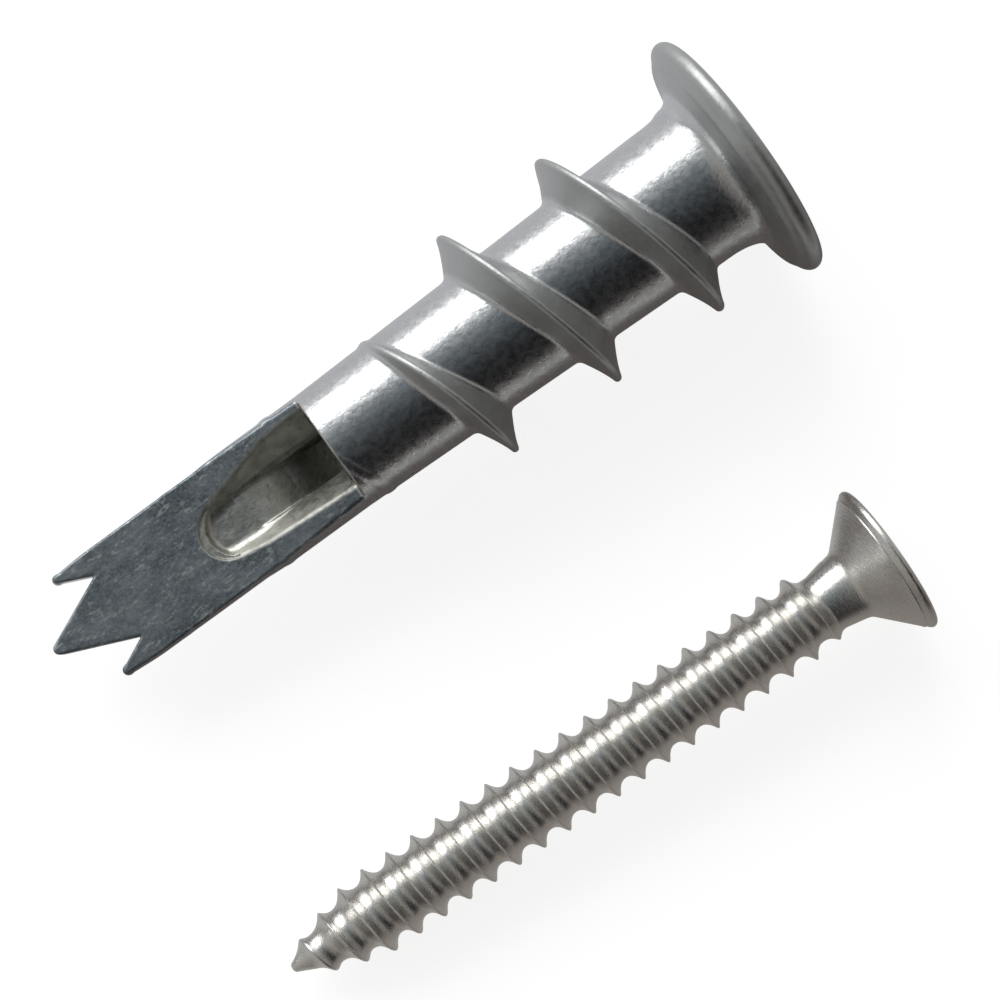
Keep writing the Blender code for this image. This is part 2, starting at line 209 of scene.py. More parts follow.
# The floor as the pieces mirror it, by y in mm: brighter on the far side of each piece.
# Painted light: in reflections the floor glows by this table, with painted shade in the gap in
# front of the anchor.
MIRRORED_GLOW_AND_SHADE = ((-45, 0.08, 0.07, 0.07), (-28, 0.20, 0.185, 0.175), (-14.5, 0.27, 0.25, 0.235),
            (-11, 0.48, 0.48, 0.47), (-7, 0.44, 0.44, 0.44), (-3, 0.125, 0.11, 0.105),
            (6.5, 0.11, 0.096, 0.092), (10.5, 0.60, 0.60, 0.62))
# Light that comes from across the pieces, by degrees from overhead towards +y.
ACROSS = ((-100, 0.03, 0.027, 0.027), (-60, 0.010, 0.010, 0.010), (-35, 0.020, 0.024, 0.028),
          (-10, 0.080, 0.095, 0.103), (14, 0.185, 0.21, 0.23), (34, 0.45, 0.47, 0.49),
          (41, 3.3, 3.3, 3.3), (74, 3.3, 3.3, 3.3), (80, 0.5, 0.5, 0.52), (100, 0.6, 0.6, 0.6))
# Light that comes from beyond their ends, by how far it leans towards +y, and the leans along x
# between which it takes over from the light across them.
ENDS = ((-1, 0.24, 0.23, 0.23), (-0.6, 0.30, 0.285, 0.28), (-0.3, 0.33, 0.30, 0.27),
        (0, 0.38, 0.38, 0.365), (1, 0.48, 0.48, 0.48))
ENDS_TAKE_OVER = (0.35, 0.6)

# Tones of the metals, each pair mixed by a noise.
BARREL_TONES = ((0.56, 0.57, 0.58), (0.68, 0.69, 0.69))
MATT_TONES = ((0.45, 0.465, 0.46), (0.56, 0.57, 0.56))
# Painted dark reflection: the blade's flat face is given a far darker tone than the barrel.
FACE_DARK_REFLECTION_TONES = ((0.13, 0.155, 0.17), (0.29, 0.325, 0.345))
FACE_SPECKLE = (0.40, 0.44, 0.46)
FACE_FLECK = (0.60, 0.64, 0.65)
# Painted shade: the trough and bore are given a darker olive tone than the barrel, and darker
# spots.
TROUGH_SHADE_TONES = ((0.42, 0.42, 0.37), (0.62, 0.62, 0.58))
TROUGH_SPOT = (0.16, 0.16, 0.13)
STEEL_TONES = ((0.74, 0.72, 0.68), (0.86, 0.85, 0.82))
# Most of a noise's values lie between these two.
NOISE_SPAN = (0.3, 0.7)

# The camera, and the point on the floor that it looks at.
ELEVATION = math.radians(81.119)
HEADING = math.radians(35.902)
DISTANCE = 0.140081
TARGET = (1.3365 * MM, 2.5566 * MM, 0)
LENS = 98.71


def smooth_max(a, b, blend):
    """The larger of two fields, with the edge where they meet rounded over."""
    overlap = np.maximum(blend - np.abs(a - b), 0) / blend
    return np.maximum(a, b) + overlap * overlap * blend / 4


def smooth_min(a, b, blend):
    """The smaller of two fields, with the corner where they meet filled."""
    return -smooth_max(-a, -b, blend)


def ramp(value, start, end):
    """0 before start, 1 after end, straight between them."""
    return np.clip((value - start) / (end - start), 0, 1)


def mix(start, end, share):
    return start + (end - start) * share


def heights(x, table):
    """Height of a face that bends at the stations in a table of (x, height)."""
    stations, values = zip(*table)
    return np.interp(x, stations, values)


def rounded_wedge(u, v, tip, radius, first, second):
    """Distance from a wedge with a round end centred at tip, given its sides' outward normals."""
    du, dv = u - tip[0], v - tip[1]
    det = first[0] * second[1] - first[1] * second[0]
    near_first = (du * second[1] - dv * second[0]) / det
    near_second = (first[0] * dv - first[1] * du) / det
    sides = np.maximum(du * first[0] + dv * first[1], du * second[0] + dv * second[1])
    at_end = (near_first > 0) & (near_second > 0)
    return np.where(at_end, np.hypot(du, dv), sides) - radius


def tangent_normal(centre, radius, point, side):
    """Outward normal of the line through point that touches a circle; side is +1 or -1."""
    du, dv = point[0] - centre[0], point[1] - centre[1]
    lean = math.atan2(dv, du) - side * math.asin(radius / math.hypot(du, dv))
    return -side * math.sin(lean), side * math.cos(lean)


def barrel_radius(x):
    """Nearly straight beside the blade, tapered under the thread, flared at the neck."""
    blade = mix(BARREL_TIP_RADIUS, BARREL_SHOULDER_RADIUS, ramp(x, 0, SHOULDER_X))
    taper = (BARREL_NECK_RADIUS - BARREL_SHOULDER_RADIUS) * ramp(x, SHOULDER_X, NECK_X)
    flare = (JUNCTION_RADIUS - BARREL_NECK_RADIUS) * ramp(x, NECK_X, JUNCTION_X) ** 3
    return blade + taper + flare


def moulded_path(turns):
    """Pitches gone along by a fin whose every half turn lies in one plane, as the mould parts."""
    half_turns = np.floor(2 * turns)
    within = 2 * turns - half_turns
    return (half_turns + (1 - np.cos(np.pi * within)) / 2) / 2


def fin_field(x, y, z, r):
    """The coarse thread: a tall thin fin that rises from the barrel and sinks back into it."""
    turns = np.arctan2(z, y) / (2 * np.pi)
    along = (x - FIN_CREST_X) / FIN_PITCH - moulded_path(turns)
    offset = (along - np.round(along)) * FIN_PITCH
    crest_x = x - offset
    share = np.minimum(ramp(crest_x, *FIN_RISE_X), 1 - ramp(crest_x, *FIN_FALL_X))
    height = FIN_HEIGHT * share
    above = ramp(r - barrel_radius(x), 0, np.maximum(height, FIN_LEAST_HEIGHT))
    half = FIN_TIP_HALF + (FIN_ROOT_HALF - FIN_TIP_HALF) * share * (1 - above) ** FIN_HOLLOW
    flank = (np.abs(offset) - half) * FLANK_SCALE
    return smooth_max(flank, r - barrel_radius(x) - height, FIN_CREST_ROUND)


def flange_field(x, r):
    """The head: a rear cone, a low ridge near its edge, and a rounded rim."""
    rim = (RIM_CENTRE_X, RIM_RADIUS - RIM_ROUND)
    rear = tangent_normal(rim, RIM_ROUND, (JUNCTION_X, JUNCTION_RADIUS), -1)
    disc = rounded_wedge(x, r, rim, RIM_ROUND, rear, (1, 0))
    ridge = np.exp(-((r - RIDGE_RADIUS) / RIDGE_HALF_WIDTH) ** 2)
    return disc - RIDGE_HEIGHT * ridge * (x < RIM_CENTRE_X)


def outline_field(x, y):
    """The blade seen from the front: centre spur, a notch each side, and two outer teeth."""
    spread = np.abs(y)
    skewed = x + OUTLINE_SKEW * y
    spur_tip = (SPUR_TIP_RADIUS, 0)
    notch = (NOTCH_X, SPUR_ROOT_HALF_WIDTH)
    normal = tangent_normal(spur_tip, SPUR_TIP_RADIUS, notch, 1)
    spur = rounded_wedge(skewed, y, spur_tip, SPUR_TIP_RADIUS, normal, (normal[0], -normal[1]))

    tooth_tip = tooth_centre()
    inner = tangent_normal(tooth_tip, TOOTH_TIP_RADIUS, notch, -1)
    outer = tangent_normal(tooth_tip, TOOTH_TIP_RADIUS, (NOTCH_X, BLADE_HALF_WIDTH), 1)
    tooth = rounded_wedge(skewed, spread, tooth_tip, TOOTH_TIP_RADIUS, inner, outer)
    points = smooth_min(spur, tooth, NOTCH_FILL)
    side = spread - BLADE_HALF_WIDTH - SHELF_WIDENING * ramp(x, SQUARE_EDGE_END_X, SHELF_X)
    squared = smooth_max(points, side, SIDE_ROUND)
    return np.where(x < SHELF_X, squared, -1.0)


def tooth_centre():
    """Centre (x, distance from the middle) of the round tip of each outer tooth."""
    return TOOTH_TIP_X + TOOTH_TIP_RADIUS, BLADE_HALF_WIDTH - TOOTH_LEAN - TOOTH_TIP_RADIUS


def bead_field(x, y, z):
    """The small bead at the end of each tooth."""
    cx, cy = tooth_centre()
    skewed = x + OUTLINE_SKEW * y
    sideways = np.abs(y) - cy
    up = z - TOOTH_BEAD_HEIGHT
    return np.sqrt((skewed - cx) ** 2 + sideways ** 2 + up ** 2) - TOOTH_BEAD_RADIUS


def trough_field(x, y, z):
    """The open trough: a spoon-shaped channel with sloping walls and a stepped lip at its nose.

    Its floor slopes down from the nose, and the bore's slot opens in it towards the shoulder.
    """
    front = heights(x, FRONT_HEIGHTS)
    half = np.where(y > 0, heights(x, UPPER_EDGE), heights(x, LOWER_EDGE))
    floor_z = mix(front - TROUGH_TIP_DEPTH, SHELF_HEIGHT, ramp(x, TROUGH_TIP_X, SHELF_X))
    edge = np.abs(y) - half
    nose = TROUGH_TIP_X + NOSE_CURVE * (y - NOSE_CENTRE_Y) ** 2 - x
    walls = (edge + (front - z) * WALL_RUN) * WALL_SCALE
    channel = smooth_max(walls, floor_z - z, FLOOR_ROUND)
    channel = smooth_max(channel, nose + LIP_WIDTH + (front - z) * NOSE_RUN, NOSE_ROUND)
    lip = smooth_max(nose, edge, LIP_ROUND)
    lip = np.maximum(np.maximum(lip, front - LIP_DEPTH - z), x - TROUGH_TIP_X - LIP_LENGTH)

    share = ramp(x, SLOT_START_X, SHOULDER_X)
    slot_floor = mix(floor_z, -SLOT_REACH, share ** 2)
    slot = smooth_max(np.abs(y) - SLOT_HALF_WIDTH, slot_floor - z, SLOT_ROUND)
    slot = np.maximum(slot, SLOT_START_X - x)
    hollow = np.minimum(np.minimum(channel, slot), lip)
    return np.maximum(hollow, x - SHOULDER_X - HOLLOW_OVERLAP)


def bore_field(x, y, z, r):
    """The cross-shaped bore, the conical seat for the screw's head, and the cross drive."""
    upright = np.maximum(np.abs(y) - SLOT_HALF_WIDTH, np.abs(z) - SLOT_REACH)
    level = np.maximum(np.abs(z) - SLOT_HALF_WIDTH, np.abs(y) - SLOT_REACH)
    bore = np.minimum(np.minimum(upright, level), r - BORE_RADIUS)
    bore = np.maximum(bore, SHOULDER_X - HOLLOW_OVERLAP - x)
    seat = (r - SEAT_RADIUS + ANCHOR_LENGTH - x) * math.cos(SEAT_SLOPE)
    drive_end = ANCHOR_LENGTH - DRIVE_DEPTH
    reach = mix(DRIVE_TIP_REACH, DRIVE_REACH, ramp(x, drive_end, ANCHOR_LENGTH))
    drive = np.minimum(np.maximum(np.abs(y) - DRIVE_HALF_WIDTH, np.abs(z) - reach),
                       np.maximum(np.abs(z) - DRIVE_HALF_WIDTH, np.abs(y) - reach))
    drive = np.maximum(drive, drive_end - x)
    return np.minimum(np.minimum(bore, seat), drive)


def anchor_field(x, y, z):
    """Signed distance, roughly, from the anchor's skin: negative in the metal."""
    r = np.hypot(y, z)
    solid = smooth_min(r - barrel_radius(x), fin_field(x, y, z, r), FIN_FILL)
    solid = smooth_min(solid, flange_field(x, r), CORNER_FILL)
    solid = np.maximum(solid, x - ANCHOR_LENGTH)

    before_shoulder = x - SHOULDER_X
    above = smooth_max(heights(x, FRONT_HEIGHTS) - z, before_shoulder, EDGE_ROUND)
    below = smooth_max(z - heights(x, BACK_HEIGHTS), before_shoulder - BACK_CUT_RUN, EDGE_ROUND)
    solid = smooth_max(solid, -above, EDGE_ROUND)
    solid = smooth_max(solid, -below, EDGE_ROUND)
    solid = smooth_max(solid, outline_field(x, y), EDGE_ROUND)
    solid = smooth_min(solid, bead_field(x, y, z), BEAD_FILL)
    hollow = np.minimum(trough_field(x, y, z), bore_field(x, y, z, r))
    return smooth_max(solid, -hollow, EDGE_ROUND)


def sampled(field, low, high, step):
    """The field's values on a grid of points, one slice of constant x at a time."""
    xs, ys, zs = (np.arange(a, b + step, step) for a, b in zip(low, high))
    values = np.empty((len(xs), len(ys), len(zs)), np.float32)
    for index, x in enumerate(xs):
        values[index] = field(np.full((1, 1), x), ys[:, None], zs[None, :])
    return values


def surface_net(values, low, step):
    """Points and quads of the surface where a sampled field is zero, one point to each cell."""
    inside = values < 0
    corners = [(i, j, k) for i in (0, 1) for j in (0, 1) for k in (0, 1)]
    cells = tuple(size - 1 for size in values.shape)

    def corner(array, offset):
        return array[tuple(slice(o, o + size) for o, size in zip(offset, cells))]

    count = sum(corner(inside, offset).astype(np.int8) for offset in corners)
    active = np.argwhere((count > 0) & (count < 8))
    number = np.full(cells, -1, np.int64)
    number[tuple(active.T)] = np.arange(len(active))

    total = np.zeros((len(active), 3))
    crossings = np.zeros(len(active))
    for offset in corners:
        for axis in range(3):
            if offset[axis]:
                continue
            near = active + offset
            far = near.copy()
            far[:, axis] += 1
            a, b = values[tuple(near.T)], values[tuple(far.T)]
            crossed = (a < 0) != (b < 0)
            share = np.where(crossed, a / np.where(crossed, a - b, 1), 0)
            point = np.array(offset, float) + share[:, None] * np.eye(3)[axis]
            total += point * crossed[:, None]
            crossings += crossed
    points = np.array(low) + step * (active + total / crossings[:, None])

    quads = []
    for axis in range(3):
        others = [other for other in range(3) if other != axis]
        ends = [slice(None), slice(None), slice(None)]
        ends[axis] = slice(0, -1)
        first = inside[tuple(ends)]
        ends[axis] = slice(1, None)
        second = inside[tuple(ends)]
        edges = np.argwhere(first != second)
        kept = (edges[:, others] > 0).all(1) & (edges[:, others] < np.array(cells)[others]).all(1)
        edges = edges[kept]
        around = []
        for step_a, step_b in ((0, 0), (1, 0), (1, 1), (0, 1)):
            cell = edges.copy()
            cell[:, others[0]] -= step_a
            cell[:, others[1]] -= step_b
            around.append(number[tuple(cell.T)])
        quad = np.stack(around, 1)
        outward = first[tuple(edges.T)] != (axis == 1)
        quads.append(np.where(outward[:, None], quad, quad[:, ::-1]))
    return points, np.concatenate(quads)


def gradient(field, points, reach=0.02):
    """The field's slope at each point, from its values at a small reach to either side."""
    slopes = []
    for axis in range(3):
        shift = np.zeros(3)
        shift[axis] = reach
        slopes.append((field(*(points + shift).T) - field(*(points - shift).T)) / (2 * reach))
    return np.stack(slopes, 1)


def settled(field, points, rounds=2, flattest=0.05, longest=NET_STEP / 2):
    """Points moved onto the surface along the field's slope, by a limited distance each round."""
    for _ in range(rounds):
        slope = gradient(field, points)
        steep = np.maximum((slope ** 2).sum(1), flattest)
        move = slope * (field(*points.T) / steep)[:, None]
        length = np.maximum(np.linalg.norm(move, axis=1), TINY)
        points = points - move * np.minimum(1, longest / length)[:, None]
    return points


def piece(name, points, faces, smooth_angle=None):
    """A new mesh object from points in millimetres, in the piece's own axes."""
    mesh = bpy.data.meshes.new(name)
    mesh.from_pydata((np.asarray(points) * MM).tolist(), [], [list(map(int, f)) for f in faces])
    mesh.validate()
    obj = bpy.data.objects.new(name, mesh)
    bpy.context.scene.collection.objects.link(obj)
    mesh.shade_smooth()
    if smooth_angle:
        mesh.set_sharp_from_angle(angle=math.radians(smooth_angle))
    return obj


def thinned(obj, triangles):
    """Replaces an object's mesh by one with fewer triangles."""
    now = sum(len(face.vertices) - 2 for face in obj.data.polygons)
    if now <= triangles:
        return
    modifier = obj.modifiers.new("thin", "DECIMATE")
    modifier.ratio = triangles / now
    settle_modifiers(obj)


def settle_modifiers(obj):
    """Makes an object's modified shape its mesh, and drops the modifiers."""
    graph = bpy.context.evaluated_depsgraph_get()
    mesh = bpy.data.meshes.new_from_object(obj.evaluated_get(graph))
    obj.modifiers.clear()
    obj.data = mesh


def own_points(obj):
    """The object's points in millimetres."""
    points = np.empty(len(obj.data.vertices) * 3)
    obj.data.vertices.foreach_get("co", points)
    return points.reshape(-1, 3) / MM


def anchor_skin():
    """The die-casting's skin, with its normals read from the field itself."""
    margin = 4 * NET_STEP
    low = (-margin, -RIM_RADIUS - margin, -RIM_RADIUS - margin)
    high = (ANCHOR_LENGTH + margin, RIM_RADIUS + margin, RIM_RADIUS + margin)
    points, quads = surface_net(sampled(anchor_field, low, high, NET_STEP), low, NET_STEP)
    obj = piece("anchor_skin", settled(anchor_field, points), quads)
    thinned(obj, ANCHOR_TRIANGLES)
    points = settled(anchor_field, own_points(obj))
    obj.data.vertices.foreach_set("co", (points * MM).ravel())
    slope = gradient(anchor_field, points)
    normals = slope / np.maximum(np.linalg.norm(slope, axis=1), TINY)[:, None]
    obj.data.shade_smooth()
    obj.data.normals_split_custom_set_from_vertices(normals.tolist())
    mark_anchor(obj, points)
    return obj


def mark_anchor(obj, points):
    """Marks for the material: the blade's face, the hollows, and what stands off the barrel."""
    x, y, z = points.T
    r = np.hypot(y, z)
    opening = np.minimum(trough_field(x, y, z), bore_field(x, y, z, r))
    hollow = 1 - ramp(opening, *HOLLOW_FADE)
    off_face = np.abs(z - heights(x, FRONT_HEIGHTS))
    face = (x < SHOULDER_X - FACE_MARGIN) * (1 - ramp(off_face, *FACE_FADE))
    raised = ramp(r - barrel_radius(x), *RAISED_FADE)
    for name, values in (("blade_face", face), ("hollow", hollow), ("raised", raised)):
        mark = obj.data.attributes.new(name, "FLOAT", "POINT")
        mark.data.foreach_set("value", values.astype(np.float32))


def circle(x, radius, sides, start):
    """Points round the axis at one station."""
    turns = start + 2 * math.pi * np.arange(sides) / sides
    return np.stack([np.full(sides, x), radius * np.cos(turns), radius * np.sin(turns)], 1)


def bridged(first, second, sides):
    """Faces between two rings, given the number of each ring's first point."""
    return [(first + s, first + (s + 1) % sides, second + (s + 1) % sides, second + s)
            for s in range(sides)]


def arc(centre_x, centre_r, radius, start, end, steps):
    """Points (x, radius) of an arc in a turned profile, between two angles in degrees."""
    angles = [math.radians(mix(start, end, step / steps)) for step in range(steps + 1)]
    return [(centre_x + radius * math.cos(a), centre_r + radius * math.sin(a)) for a in angles]


def screw_root(x):
    """Root radius along the screw: a curved blunt point, a straight shank, and a swelling neck."""
    shank = SCREW_ROOT_RADIUS * max(min(x / POINT_LENGTH, 1.0), 0.0) ** POINT_CURVE
    swell = (SCREW_NECK_RADIUS - SCREW_ROOT_RADIUS) * float(ramp(x, *SCREW_SWELL_X))
    return shank + swell


def thread_rise(offset, x):
    """Height of the thread above its root: a round-bottomed valley between blunted crests."""
    height = SCREW_CREST_RADIUS - SCREW_ROOT_RADIUS
    crest_x = x - offset
    grown = THREAD_START_SHARE + (1 - THREAD_START_SHARE) * max(crest_x, 0) / POINT_LENGTH
    left = max((THREAD_END_X - crest_x) / (THREAD_END_X - THREAD_FULL_END_X), 0)
    height *= min(1.0, grown, left)
    flank = THREAD_OVERSHOOT * height * (1 - 2 * abs(offset) / SCREW_PITCH) ** THREAD_CURVE
    return max(float(smooth_min(flank, height, THREAD_CREST_ROUND)), 0.0)


def thread_offsets():
    """Where the strip's points lie across one pitch, measured from the crest."""
    even = [SCREW_PITCH * (index / SCREW_SLICES - 0.5) for index in range(SCREW_SLICES)]
    return [offset * (1 - CREST_CROWDING + 2 * CREST_CROWDING * abs(offset) / SCREW_PITCH)
            for offset in even]


def column_turn(column):
    """Angle round the axis of a column of the strip."""
    return SCREW_CREST_ANGLE + 2 * math.pi * column / SCREW_SIDES


def strip_points(first, last, offsets):
    """Points of the thread's strip, column after column round the axis."""
    points = []
    for column in range(first, last + 1):
        turn = column_turn(column)
        for offset in offsets:
            x = SCREW_CREST_X + column * THREAD_STEP + offset
            radius = screw_root(x) + thread_rise(offset, x)
            points.append((x, radius * math.cos(turn), radius * math.sin(turn)))
    return np.array(points)


def strip_point(column, index, columns):
    """Number of a point on the strip. After a column's last comes the one a full turn on."""
    if index < SCREW_SLICES:
        return column * SCREW_SLICES + index
    if column + SCREW_SIDES < columns:
        return (column + SCREW_SIDES) * SCREW_SLICES
    return None


def strip_faces(columns):
    faces = []
    for column in range(columns - 1):
        for index in range(SCREW_SLICES):
            around = ((column, index), (column, index + 1),
                      (column + 1, index + 1), (column + 1, index))
            corners = tuple(strip_point(*corner, columns) for corner in around)
            if None not in corners:
                faces.append(corners)
    return faces


def add_rings(points, faces, profile, turn):
    """Adds rings of (x, radius) to the screw, and returns where the first and last one start."""
    first = sum(len(part) for part in points)
    points.extend(circle(x, radius, SCREW_SIDES, turn) for x, radius in profile)
    last = first + (len(profile) - 1) * SCREW_SIDES
    for ring in range(first, last, SCREW_SIDES):
        faces.extend(bridged(ring, ring + SCREW_SIDES, SCREW_SIDES))
    return first, last


def close_end(faces, cap_ring, ring, edge, step):
    """Adds a flat cap, and faces from a ring to the strip's edge with the step in that edge."""
    faces.append(tuple(range(cap_ring, cap_ring + SCREW_SIDES)))
    for side in range(SCREW_SIDES - 1):
        faces.append((ring + side, ring + side + 1, edge[side + 1], edge[side]))
    faces.append((ring + SCREW_SIDES - 1, ring, edge[0], *step, edge[-1]))


def screw_skin():
    """The rolled thread as one strip wound round the axis, between a round point and the head."""
    offsets = thread_offsets()
    head = screw_head_profile()
    first = math.ceil((THREAD_START_X - offsets[0] - SCREW_CREST_X) / THREAD_STEP)
    last = math.floor((head[0][0] - offsets[-1] - SCREW_CREST_X) / THREAD_STEP)
    columns = last - first + 1
    points = [strip_points(first, last, offsets)]
    faces = strip_faces(columns)

    def at(column, index):
        return strip_point(column, index, columns)

    edge = [at(column, 0) for column in range(SCREW_SIDES)]
    step = [at(0, index) for index in range(1, SCREW_SLICES + 1)]
    tip, inner = add_rings(points, faces, POINT_RINGS, column_turn(first))
    close_end(faces, tip, inner, edge, step)

    edge = [at(column, SCREW_SLICES - 1) for column in range(columns - SCREW_SIDES, columns)]
    step = [at(columns - 1 - SCREW_SIDES, SCREW_SLICES - 1)]
    step += [at(columns - 1, index) for index in range(SCREW_SLICES - 1)]
    inner, end = add_rings(points, faces, head, column_turn(last + 1))
    close_end(faces, end, inner, edge, step)

    obj = piece("screw_skin", np.concatenate(points), faces, SCREW_SMOOTH_ANGLE)
    outward(obj)
    cut_recess(obj)
    return obj


def screw_head_profile():
    """From the thread's end: a flared neck, the cone, a thin raised ring, and the rounded rim."""
    neck, edge, bead = SCREW_NECK_RADIUS, SCREW_HEAD_EDGE, SCREW_RING_BEAD
    cone_x, cone_r = SCREW_NECK_X + CONE_START[0], neck + CONE_START[1]
    ring_x, ring_r = SCREW_LENGTH - SCREW_RING_DEPTH, SCREW_HEAD_RADIUS - SCREW_RING_INSET
    profile = [(SCREW_NECK_X + along, neck + out) for along, out in NECK_FLARE]
    profile += [(mix(cone_x, ring_x, t), mix(cone_r, ring_r, t)) for t in (0, 0.3, 0.6, 0.97)]
    profile += arc(ring_x + bead / 2, ring_r - bead / 2, bead, 165, 60, 5)
    profile += arc(SCREW_LENGTH - edge, SCREW_HEAD_RADIUS - edge, edge, 135, 0, 9)
    return profile


def outward(obj):
    """Turns every face's front side out."""
    work = bmesh.new()
    work.from_mesh(obj.data)
    bmesh.ops.recalc_face_normals(work, faces=work.faces)
    work.to_mesh(obj.data)
    work.free()


def cut_recess(obj):
    """The cross recess in the head's flat face: two crossed wings that narrow with depth."""
    for wing in (0, 1):
        levels = [(SCREW_LENGTH + 1, 1.0, 1.0), (SCREW_LENGTH, 1.0, 1.0),
                  (SCREW_LENGTH - RECESS_DEPTH, RECESS_TIP_REACH_SHARE, RECESS_TIP_WIDTH_SHARE)]
        points = []
        for x, reach_share, half_share in levels:
            reach, half = RECESS_REACH * reach_share, RECESS_HALF_WIDTH * half_share
            for u, v in ((-half, -reach), (half, -reach), (half, reach), (-half, reach)):
                points.append((x, u, v) if wing else (x, v, u))
        faces = [(0, 1, 2, 3), (8, 9, 10, 11)] + bridged(0, 4, 4) + bridged(4, 8, 4)
        cutter = piece(f"recess_wing_{wing}", points, faces)
        outward(cutter)
        modifier = obj.modifiers.new("recess", "BOOLEAN")
        modifier.solver = "EXACT"
        modifier.object = cutter
        settle_modifiers(obj)
        bpy.data.objects.remove(cutter)


def place(obj, mount_name, mount_point, roll):
    """Lays a piece where the CAD piece lies, from the mount on its head."""
    mount = next(m for m in frame["record"]["mounts"] if m["name"] == mount_name)
    axis = Vector(mount["axis"]).normalized()
    turn = Matrix.Rotation(math.atan2(axis.y, axis.x), 4, "Z")
    turn = turn @ Matrix.Rotation(-math.asin(axis.z), 4, "Y") @ Matrix.Rotation(roll, 4, "X")
    tip = Vector(mount["pos_m"]) - turn @ (Vector(mount_point) * MM)
    obj.data.transform(Matrix.Translation(tip) @ turn)


class Nodes:
    """Short forms for building a node tree."""

    def __init__(self, owner, output):
        owner.use_nodes = True
        self.tree = owner.node_tree
        self.place = self.add("ShaderNodeTexCoord").outputs[output]
        separate = self.add("ShaderNodeSeparateXYZ")
        self.link(self.place, separate.inputs[0])
        self.axes = separate.outputs

    def add(self, kind, **settings):
        node = self.tree.nodes.new(kind)
        for key, value in settings.items():
            setattr(node, key, value)
        return node

    def link(self, source, target):
        self.tree.links.new(source, target)

    def math(self, operation, a, b=None):
        node = self.add("ShaderNodeMath", operation=operation)
        for socket, value in zip(node.inputs, (a, b)):
            if isinstance(value, (int, float)):
                socket.default_value = value
            elif value is not None:
                self.link(value, socket)
        return node.outputs[0]

    def noise(self, size_mm, detail=3.0, roughness=0.5, stretch=(1, 1, 1)):
        """Noise from 0 to 1 whose blobs are about size_mm across."""
        scale = self.add("ShaderNodeMapping")
        self.link(self.place, scale.inputs["Vector"])
        scale.inputs["Scale"].default_value = [factor / (size_mm * MM) for factor in stretch]
        node = self.add("ShaderNodeTexNoise")
        node.inputs["Scale"].default_value = 1.0
        node.inputs["Detail"].default_value = detail
        node.inputs["Roughness"].default_value = roughness
        self.link(scale.outputs[0], node.inputs["Vector"])
        return node.outputs["Fac"]

    def between(self, value, low, high, out_low=0.0, out_high=1.0):
        """A value between low and high, spread from out_low to out_high and held at the ends."""
        node = self.add("ShaderNodeMapRange")
        self.link(value, node.inputs["Value"])
        for name, number in (("From Min", low), ("From Max", high),
                             ("To Min", out_low), ("To Max", out_high)):
            node.inputs[name].default_value = number
        return node.outputs[0]

    def mixed(self, share, first, second):
        """The first colour where share is 0, and the second where it is 1."""
        node = self.add("ShaderNodeMix", data_type="RGBA")
        self.link(share, node.inputs[0])
        for socket, value in ((node.inputs[6], first), (node.inputs[7], second)):
            if isinstance(value, tuple):
                socket.default_value = (*value, 1)
            else:
                self.link(value, socket)
        return node.outputs[2]

    def ramp(self, value, stops):
        """A colour that follows a value; stops are (value, red, green, blue)."""
        low, high = stops[0][0], stops[-1][0]
        node = self.add("ShaderNodeValToRGB")
        self.link(self.between(value, low, high), node.inputs[0])
        elements = node.color_ramp.elements
        while len(elements) < len(stops):
            elements.new(0.5)
        for element, (at, *colour) in zip(elements, stops):
            element.position = (at - low) / (high - low)
            element.color = (*colour, 1)
        return node.outputs[0]

    def attribute(self, name):
        return self.add("ShaderNodeAttribute", attribute_name=name).outputs["Fac"]

    def bump(self, height, depth_mm, before=None):
        node = self.add("ShaderNodeBump")
        node.inputs["Distance"].default_value = depth_mm * MM
        self.link(height, node.inputs["Height"])
        if before:
            self.link(before, node.inputs["Normal"])
        return node.outputs[0]


class Surface(Nodes):
    """The node tree of a new material."""

    def __init__(self, name):
        self.material = bpy.data.materials.new(name)
        super().__init__(self.material, "Object")
        self.shader = self.tree.nodes["Principled BSDF"]


def blade_face_grain_and_dark_reflection(n, fine):
    """Painted dark reflection: a dark grey in clouds, far darker than the barrel, with fine pale
    speckle and longer pale flecks along the blade.
    """
    cloud = n.noise(1.6, 4, 0.6, (0.6, 1, 1))
    fleck = n.noise(0.34, 4, 0.7, (0.5, 1.4, 1.4))
    painted_dark = n.mixed(n.between(cloud, 0.35, 0.65), *FACE_DARK_REFLECTION_TONES)
    painted_dark = n.mixed(n.between(fine, 0.42, 0.68, 0, 0.5), painted_dark, FACE_SPECKLE)
    return n.mixed(n.between(fleck, 0.55, 0.66, 0, 0.75), painted_dark, FACE_FLECK)


def trough_painted_shade(n, mottle):
    """Painted shade in the trough and bore: a darker olive than the barrel, with soft dark spots.
    """
    shaded_olive = n.mixed(n.between(mottle, *NOISE_SPAN), *TROUGH_SHADE_TONES)
    spots = n.between(n.noise(0.35, 4, 0.6), 0.56, 0.72, 0, 0.5)
    return n.mixed(spots, shaded_olive, TROUGH_SPOT)


